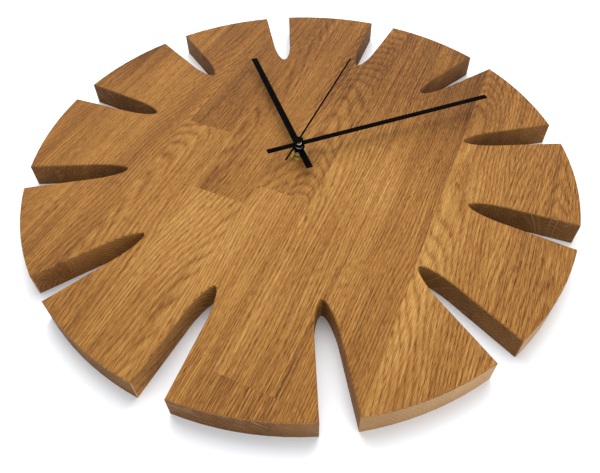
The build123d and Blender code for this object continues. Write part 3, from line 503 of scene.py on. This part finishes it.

# %% [markdown]
# One number from dark to light carries the wood's tone. It starts from the stave's own, gets darker
# towards both ends of the board, and slopes from one edge of the stave to the other, as wood does
# from heart to bark. The darkening towards the top is partly painted shade of light that is weaker
# there. Clouds, stripes, fibres and flecks are added one after another. Noise is a half on average,
# so half of their strengths is taken off again, and a ramp turns the sum into oiled oak's colours,
# from brown to honey.

# %% Tone of the wood
FADE_TOP = 120.0                    # mm above the centre where a stave is at its darkest
FADE_BOTTOM = (-90.0, -190.0)       # mm, where the lower end starts to darken and stops
BOTTOM_DARKER = 0.09                # how much darker it gets
SLOPE_TURNS = (-80.0, 40.0)         # mm between which the slope at the bottom turns into the top's
STRENGTHS = {"cloud": 0.26, "stripe": 0.28, "fibre": 0.50, "fleck": 0.72}
OAK_TONES = [(0.25, "#5A3919"), (0.40, "#795025"), (0.50, "#8D602E"), (0.65, "#9E7239"), (0.85, "#B38C4F")]
# darker towards the top: partly the stave's own tone, partly painted shade of the weaker light there
upward = add(tree, "MapRange", {"interpolation_type": "SMOOTHSTEP", "From Max": FADE_TOP}, {0: along})
top_fade = add(tree, "Math", {"operation": "MULTIPLY"}, {0: upward.outputs[0], 1: tones.outputs["Alpha"]})
topped = add(tree, "Math", {"operation": "SUBTRACT"}, {0: tone.outputs[0], 1: top_fade.outputs[0]})
downward = add(tree, "MapRange", {
    "interpolation_type": "SMOOTHSTEP",
    "From Min": FADE_BOTTOM[0], "From Max": FADE_BOTTOM[1], "To Max": -BOTTOM_DARKER,
}, {0: along})
darkened_at_ends = add(tree, "Math", {"operation": "ADD"}, {0: topped.outputs[0], 1: downward.outputs[0]})
climb = add(tree, "MapRange", {
    "interpolation_type": "SMOOTHSTEP", "From Min": SLOPE_TURNS[0], "From Max": SLOPE_TURNS[1],
}, {0: along})
slope = add(tree, "Mix", links={0: climb.outputs[0], 2: slope_parts.outputs[0], 3: slope_parts.outputs[1]})
signed_slope = add(tree, "Math", {"operation": "SUBTRACT", 1: 0.5}, {0: slope.outputs[0]})
from_centre = add(tree, "Math", {"operation": "DIVIDE", 1: STAVE}, {0: from_middle.outputs[0]})
sloped = add(tree, "Math", {"operation": "MULTIPLY_ADD"},
             {0: signed_slope.outputs[0], 1: from_centre.outputs[0], 2: darkened_at_ends.outputs[0]})
shade = sloped
for kind, strength in STRENGTHS.items():
    shade = add(tree, "Math", {"operation": "MULTIPLY_ADD", 1: strength},
                {0: marks[kind], 2: shade.outputs[0]})
evened = add(tree, "Math", {"operation": "SUBTRACT", 1: sum(STRENGTHS.values()) / 2},
             {0: shade.outputs[0]})
body = add(tree, "ValToRGB", links={0: evened.outputs[0]},
           stops=[(place, linear(colour)) for place, colour in OAK_TONES])
print("oak from", OAK_TONES[0][1], "to", OAK_TONES[-1][1])

# %% [markdown]
# Rings and pores then multiply that colour, because both are the same wood with more oil in it.
# Sawn across the grain, the open pores drink still more, and end grain turns darker and greyer. That
# darkening is set deeper than the oil alone makes it, as painted shade on the walls of the slots. The
# sanded rim along the grain is paler, and the rays are drawn last.

# %% Rings, pores and cuts over the tone
RING_DEPTH = (0.45, 0.38)           # how strongly rings show, in straight and in arched wood
ring_depth = add(tree, "MapRange", {"To Min": RING_DEPTH[0], "To Max": RING_DEPTH[1]},
                 {0: arched.outputs[0]})
rings = add(tree, "Math", {"operation": "MULTIPLY"}, {0: spring.outputs[0], 1: ring_depth.outputs[0]})
end_rays = add(tree, "Math", {"operation": "MULTIPLY"}, {0: rays.outputs[0], 1: end_grain.outputs[0]})
# what is drawn, in order, with how strongly, how and in what colour
COATS = [
    (rings, 1.00, "MULTIPLY", "#B48D5C"),
    (pores, 1.00, "MULTIPLY", "#BC9A72"),
    # end grain: darker from oil, and set deeper still as painted shade on the slot walls
    (end_grain, 0.75, "MULTIPLY", "#B0AA98"),
    (side_rim, 0.45, "MIX", "#C4A57E"),
    (end_rays, 0.50, "MIX", "#C0A078"),
    (rays, 0.22, "MULTIPLY", "#9A7350"),
]
wood = body.outputs[0]
for drawn, strength, blend, colour in COATS:
    share = add(tree, "Math", {"operation": "MULTIPLY", 1: strength}, {0: drawn.outputs[0]})
    coat = add(tree, "Mix", {"data_type": "RGBA", "blend_type": blend, 7: linear(colour)},
               {0: share.outputs[0], 6: wood})
    wood = coat.outputs[2]
print("oak nodes so far", len(tree.nodes))

# %% [markdown]
# Last comes the touch of it. Pores are pits an eighth of a millimetre deep and fibres stand a little
# proud, and a bump map is enough for both. Oil soaks in instead of lying on top, so the shine is
# weak and broad, and sawn wood is rougher than planed.

# %% Surface of the oak
PIT = 0.12                          # mm, the depth of a pore
relief = add(tree, "Math", {"operation": "SUBTRACT"}, {0: marks["fibre"], 1: pores.outputs[0]})
bump = add(tree, "Bump", {"Strength": 0.5, "Distance": PIT * MM}, {"Height": relief.outputs[0]})
planed = add(tree, "MapRange", {"To Min": 0.42, "To Max": 0.62}, {0: marks["fibre"]})
rough = add(tree, "Math", {"operation": "MULTIPLY_ADD", 1: 0.2}, {0: sawn.outputs[0], 2: planed.outputs[0]})
finish_material(tree, {"IOR": 1.47, "Specular IOR Level": 0.18}, {
    "Base Color": wood, "Roughness": rough.outputs[0], "Normal": bump.outputs[0],
})
dress(oak, "clock_face")
print("oiled_oak_staves on clock_face,", len(tree.nodes), "nodes")

# %% [markdown]
# ## The hands
#
# Black hands like these are stamped from thin aluminium sheet and sprayed with satin enamel. They
# read as flat black shapes: the enamel reflects little, and only a soft change of gloss, from the
# spray's fine orange peel, tells it from paper. The hour hand's hub gets the same coat.

# %% Satin black enamel
ORANGE_PEEL = 0.7                   # mm between the ripples of the spray
DUST = 5.0                          # mm between its duller patches
enamel, tree = new_material("satin_black_enamel")
point = in_millimetres(tree)
peel = add(tree, "TexNoise", {"Scale": 1 / ORANGE_PEEL, "Detail": 2.0}, {0: point})
dust = add(tree, "TexNoise", {"Scale": 1 / DUST, "Detail": 3.0}, {0: point})
colour = add(tree, "ValToRGB", links={0: dust.outputs[0]},
             stops=[(0.3, linear("#020203")), (0.7, linear("#070708"))])
rough = add(tree, "MapRange", {"To Min": 0.42, "To Max": 0.56}, {0: dust.outputs[0]})
bump = add(tree, "Bump", {"Strength": 0.3, "Distance": 0.01 * MM}, {"Height": peel.outputs[0]})
finish_material(tree, {"IOR": 1.5, "Specular IOR Level": 0.015}, {
    "Base Color": colour.outputs[0], "Roughness": rough.outputs[0], "Normal": bump.outputs[0],
})
dress(enamel, "hour_hand", "minute_hand", "second_hand", "hour_collet")
print("satin_black_enamel on the hands, ripples each mm", ORANGE_PEEL)

# %% [markdown]
# ## Turned metal
#
# The washer, nut and stem at the hub are brass, and the little tubes that hold the hands are
# aluminium. A lathe leaves fine rings round the axis, so the pattern of both depends on how far a
# point is from the axis and on its depth, and hardly on the way round. The rings are a twentieth of
# a millimetre apart and are drawn four times coarser, so that they show in a close view.

# %% Turned brass and aluminium
TURNING = 0.2                       # mm between the rings, as they are drawn
STAIN = 1.6                         # mm from one stain to the next


def turned(name, clean, stained, roughness, *wears):
    """A bare turned metal whose colour goes from clean to stained."""
    material, tree = new_material(name)
    point = in_millimetres(tree)
    parts = add(tree, "SeparateXYZ", links={0: point})
    flat = add(tree, "VectorMath", {"operation": "MULTIPLY", 1: (1, 0, 1)}, {0: point})
    out = add(tree, "VectorMath", {"operation": "LENGTH"}, {0: flat.outputs[0]})
    ring = add(tree, "CombineXYZ", links={0: out.outputs["Value"], 1: parts.outputs[1]})
    lines = add(tree, "TexNoise", {"Scale": 1 / TURNING, "Detail": 1.0}, {0: ring.outputs[0]})
    stain = add(tree, "TexNoise", {"Scale": 1 / STAIN, "Detail": 4.0}, {0: point})
    colour = add(tree, "ValToRGB", links={0: stain.outputs[0]},
                 stops=[(0.42, linear(clean)), (0.72, linear(stained))])
    both = add(tree, "Math", {"operation": "ADD"}, {0: lines.outputs[0], 1: stain.outputs[0]})
    rough = add(tree, "MapRange", {
        "From Min": 0.7, "From Max": 1.4, "To Min": roughness - 0.06, "To Max": roughness + 0.12,
    }, {0: both.outputs[0]})
    bump = add(tree, "Bump", {"Strength": 0.4, "Distance": 0.02 * MM}, {"Height": lines.outputs[0]})
    finish_material(tree, {"Metallic": 1.0}, {
        "Base Color": colour.outputs[0], "Roughness": rough.outputs[0], "Normal": bump.outputs[0],
    })
    dress(material, *wears)
    print(name, "on", ", ".join(wears))


turned("turned_brass", "#DCC27A", "#A2823C", 0.26, "washer", "mounting_nut", "threaded_stem")
turned("turned_aluminium", "#C6C8CB", "#A2A4A8", 0.28, "minute_collet", "second_tube")

# %% [markdown]
# ## Moulded plastic
#
# A quartz movement's case is ABS, its wheels are acetal and its plate, bobbin and knob are other
# moulding plastics. Steel moulds are spark-eroded, and that gives every moulding a fine even grain.
# Colour drifts a little where the melt flowed. One function makes them all, from two shades, a
# roughness and a grain.

# %% Moulded plastic and rubber
FLOW = 7.0                          # mm over which the melt's colour drifts


def moulded(name, light, dark, roughness, grain, *wears):
    """A moulded plastic or rubber. grain is the width in mm of the mould's spark-eroded texture."""
    material, tree = new_material(name)
    point = in_millimetres(tree)
    flow = add(tree, "TexNoise", {"Scale": 1 / FLOW, "Detail": 2.0}, {0: point})
    spark = add(tree, "TexNoise", {"Scale": 1 / grain, "Detail": 2.0}, {0: point})
    colour = add(tree, "ValToRGB", links={0: flow.outputs[0]},
                 stops=[(0.35, linear(dark)), (0.65, linear(light))])
    rough = add(tree, "MapRange", {"To Min": roughness - 0.1, "To Max": roughness + 0.1},
                {0: spark.outputs[0]})
    bump = add(tree, "Bump", {"Strength": 0.5, "Distance": grain / 12 * MM}, {"Height": spark.outputs[0]})
    finish_material(tree, {"IOR": 1.5}, {
        "Base Color": colour.outputs[0], "Roughness": rough.outputs[0], "Normal": bump.outputs[0],
    })
    dress(material, *wears)
    print(name, "on", ", ".join(wears))


moulded("spark_textured_black_abs", "#1D1E20", "#151617", 0.46, 0.35, "front_case", "back_cover")
moulded("moulded_ivory_acetal", "#EFEBDD", "#E4DFCE", 0.32, 0.25, "hour_wheel", "motion_wheel",
        "minute_wheel", "third_wheel", "second_wheel", "intermediate_wheel", "rotor_pinion")
moulded("moulded_grey_polystyrene", "#D5D4CD", "#C6C5BE", 0.40, 0.30, "middle_plate")
moulded("moulded_white_abs_knob", "#E0DFDA", "#D2D1CB", 0.36, 0.25, "setting_knob")
moulded("moulded_orange_nylon", "#D96A34", "#C45A28", 0.38, 0.30, "coil_bobbin")
moulded("moulded_nitrile_rubber", "#2A2A2B", "#1F1F20", 0.78, 0.45, "gasket")
moulded("cast_epoxy_blob", "#141414", "#0E0E0E", 0.22, 1.20, "driver_chip")

# %% [markdown]
# ## Sheet metal
#
# The hanger, its screws, the battery contacts, the crystal's can and the iron core all start as
# rolled sheet or wire. Rolling draws the surface out into long fine lines. Zinc plate turns milky
# and a little blue, nickel stays bright and warm, and bare core steel is grey and duller.

# %% Rolled and plated metals
BLOOM = 4.0                         # mm from one dull patch to the next


def rolled(name, clean, dull, roughness, lines, *wears):
    """A rolled metal. lines is the size in mm of its rolling lines, across, deep and along."""
    material, tree = new_material(name)
    point = in_millimetres(tree)
    drawn_out = add(tree, "VectorMath", {"operation": "DIVIDE", 1: lines}, {0: point})
    streaks = add(tree, "TexNoise", {"Scale": 1.0, "Detail": 3.0, "Roughness": 0.6},
                  {0: drawn_out.outputs[0]})
    bloom = add(tree, "TexNoise", {"Scale": 1 / BLOOM, "Detail": 4.0, "Roughness": 0.6}, {0: point})
    colour = add(tree, "ValToRGB", links={0: bloom.outputs[0]},
                 stops=[(0.38, linear(clean)), (0.66, linear(dull))])
    both = add(tree, "Math", {"operation": "ADD"}, {0: streaks.outputs[0], 1: bloom.outputs[0]})
    rough = add(tree, "MapRange", {
        "From Min": 0.7, "From Max": 1.3, "To Min": roughness - 0.08, "To Max": roughness + 0.12,
    }, {0: both.outputs[0]})
    bump = add(tree, "Bump", {"Strength": 0.35, "Distance": 0.02 * MM}, {"Height": streaks.outputs[0]})
    finish_material(tree, {"Metallic": 1.0}, {
        "Base Color": colour.outputs[0], "Roughness": rough.outputs[0], "Normal": bump.outputs[0],
    })
    dress(material, *wears)
    print(name, "on", ", ".join(wears))


rolled("zinc_plated_steel", "#C9CCD0", "#A9ACB0", 0.36, (0.3, 0.3, 12.0),
       "hanger_plate", "hanger_screws")
rolled("nickel_plated_spring_steel", "#D6D2C8", "#BDB8AC", 0.24, (8.0, 0.2, 0.2),
       "positive_contact", "negative_contact")
rolled("drawn_nickel_can", "#CFCDC8", "#B5B2AC", 0.22, (6.0, 0.2, 0.2), "quartz_crystal")
rolled("rolled_core_steel", "#9A9DA2", "#7C7F84", 0.42, (6.0, 0.25, 0.25), "stator", "coil_core")
rolled("sintered_magnet", "#4A4B4E", "#38393B", 0.55, (0.3, 0.3, 0.3), "rotor_magnet")

# %% [markdown]
# ## The coil and the circuit board
#
# The coil is hair-thin copper wire in clear enamel, wound side by side. The wire is a twentieth of a
# millimetre thick, and its turns are drawn a quarter of a millimetre apart so that they show. Their
# colour is painted darker in the grooves between turns and lighter on their crowns, as painted shade
# and highlight, and patches of thicker enamel vary it too.

# %% Enamelled copper wire
TURN = 0.25                         # mm from one turn to the next, as they are drawn
ENAMEL_PATCH = 1.5                  # mm between thicker patches of enamel
wire, tree = new_material("enamelled_copper_wire")
point = in_millimetres(tree)
parts = add(tree, "SeparateXYZ", links={0: point})
phase = add(tree, "Math", {"operation": "MULTIPLY", 1: math.tau / TURN}, {0: parts.outputs[0]})
wave = add(tree, "Math", {"operation": "SINE"}, {0: phase.outputs[0]})
turns = add(tree, "MapRange", {"From Min": -1.0}, {0: wave.outputs[0]})
coating = add(tree, "TexNoise", {"Scale": 1 / ENAMEL_PATCH, "Detail": 3.0}, {0: point})
# painted shade in the grooves between turns and painted highlight on their crowns, times the enamel's patches
groove_shade_and_enamel = add(tree, "Math", {"operation": "MULTIPLY"}, {0: turns.outputs[0], 1: coating.outputs[0]})
colour = add(tree, "ValToRGB", links={0: groove_shade_and_enamel.outputs[0]},
             stops=[(0.0, linear("#6E2F14")), (0.5, linear("#C5713C"))])
rough = add(tree, "MapRange", {"To Min": 0.24, "To Max": 0.42}, {0: coating.outputs[0]})
bump = add(tree, "Bump", {"Strength": 0.7, "Distance": 0.06 * MM}, {"Height": turns.outputs[0]})
finish_material(tree, {"Metallic": 0.8}, {
    "Base Color": colour.outputs[0], "Roughness": rough.outputs[0], "Normal": bump.outputs[0],
})
dress(wire, "coil_winding")
print("enamelled_copper_wire drawn with a turn each mm", TURN)

# %% [markdown]
# The circuit board is paper soaked in phenolic resin and pressed: brown, satin and faintly fibrous
# along its length. One stretched noise gives its colour, its gloss and its grain.

# %% Phenolic board
PAPER_FIBRE = (2.5, 0.3, 0.3)       # mm across, deep and along
board, tree = new_material("phenolic_paper_board")
point = in_millimetres(tree)
paper_point = add(tree, "VectorMath", {"operation": "DIVIDE", 1: PAPER_FIBRE}, {0: point})
paper = add(tree, "TexNoise", {"Scale": 1.0, "Detail": 4.0}, {0: paper_point.outputs[0]})
colour = add(tree, "ValToRGB", links={0: paper.outputs[0]},
             stops=[(0.35, linear("#8A6630")), (0.65, linear("#A47E40"))])
rough = add(tree, "MapRange", {"To Min": 0.34, "To Max": 0.50}, {0: paper.outputs[0]})
bump = add(tree, "Bump", {"Strength": 0.4, "Distance": 0.01 * MM}, {"Height": paper.outputs[0]})
finish_material(tree, {"IOR": 1.55}, {
    "Base Color": colour.outputs[0], "Roughness": rough.outputs[0], "Normal": bump.outputs[0],
})
dress(board, "circuit_board")
print("phenolic_paper_board on circuit_board")

# %% [markdown]
# ## The battery
#
# An alkaline cell is a nickel-plated can in a printed film that is shrunk tight round it. The film
# stops short of both ends, so the bare can shows there. The part stays plain: dark green film with
# a copper-coloured band at the positive end. Where the film ends comes from the cell's own box.

# %% Shrunk film and bare ends
BARE = 1.2                          # mm of can that shows at each end
BAND = 11.0                         # mm of copper-coloured film
NUB = 1.5                           # mm that the positive cap stands out
SCUFF = 2.5                         # mm from one scuff to the next
battery_low, battery_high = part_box("battery")
left, right = ((corner.x - dial.x) / MM for corner in (battery_low, battery_high))
print("battery mm", round(right - left, 1), "long")

film, tree = new_material("battery_shrink_film")
point = in_millimetres(tree)
parts = add(tree, "SeparateXYZ", links={0: point})
place_along = add(tree, "MapRange", {"From Min": left, "From Max": right}, {0: parts.outputs[0]})
length = right - left
ends = [0.0, BARE / length, 1 - (NUB + BAND) / length, 1 - (NUB + BARE) / length]
FILM_COLOURS = [linear(c) for c in ("#C9C7C2", "#1B3A2C", "#A8683C", "#C9C7C2")]
BARE_METAL = [grey(share) for share in (1.0, 0.0, 0.7, 1.0)]
zones = add(tree, "ValToRGB", links={0: place_along.outputs[0]}, stops=list(zip(ends, FILM_COLOURS)))
bare = add(tree, "ValToRGB", links={0: place_along.outputs[0]}, stops=list(zip(ends, BARE_METAL)))
for ramp in (zones, bare):
    ramp.color_ramp.interpolation = "CONSTANT"
scuffs = add(tree, "TexNoise", {"Scale": 1 / SCUFF, "Detail": 5.0, "Roughness": 0.65}, {0: point})
rough = add(tree, "MapRange", {"To Min": 0.18, "To Max": 0.42}, {0: scuffs.outputs[0]})
shade = add(tree, "MapRange", {"To Min": 0.86, "To Max": 1.10}, {0: scuffs.outputs[0]})
colour = add(tree, "VectorMath", {"operation": "MULTIPLY"}, {0: zones.outputs[0], 1: shade.outputs[0]})
bump = add(tree, "Bump", {"Strength": 0.3, "Distance": 0.03 * MM}, {"Height": scuffs.outputs[0]})
finish_material(tree, {"IOR": 1.5}, {
    "Base Color": colour.outputs[0], "Metallic": bare.outputs[0],
    "Roughness": rough.outputs[0], "Normal": bump.outputs[0],
})
dress(film, "battery")
print("battery film from", round(left + BARE, 1), "to", round(right - NUB - BARE, 1), "mm")

# %% [markdown]
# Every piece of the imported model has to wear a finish, so a last look lists those that have none.

# %% Every piece has its finish
undressed = [name for name, node in nodes.items() if not node.data.materials]
finishes = {node.data.materials[0].name for node in nodes.values()}
print("undressed", undressed, "materials", sorted(finishes))

# %% [markdown]
# ## The end of the script

# %% The end
print("end of the script")
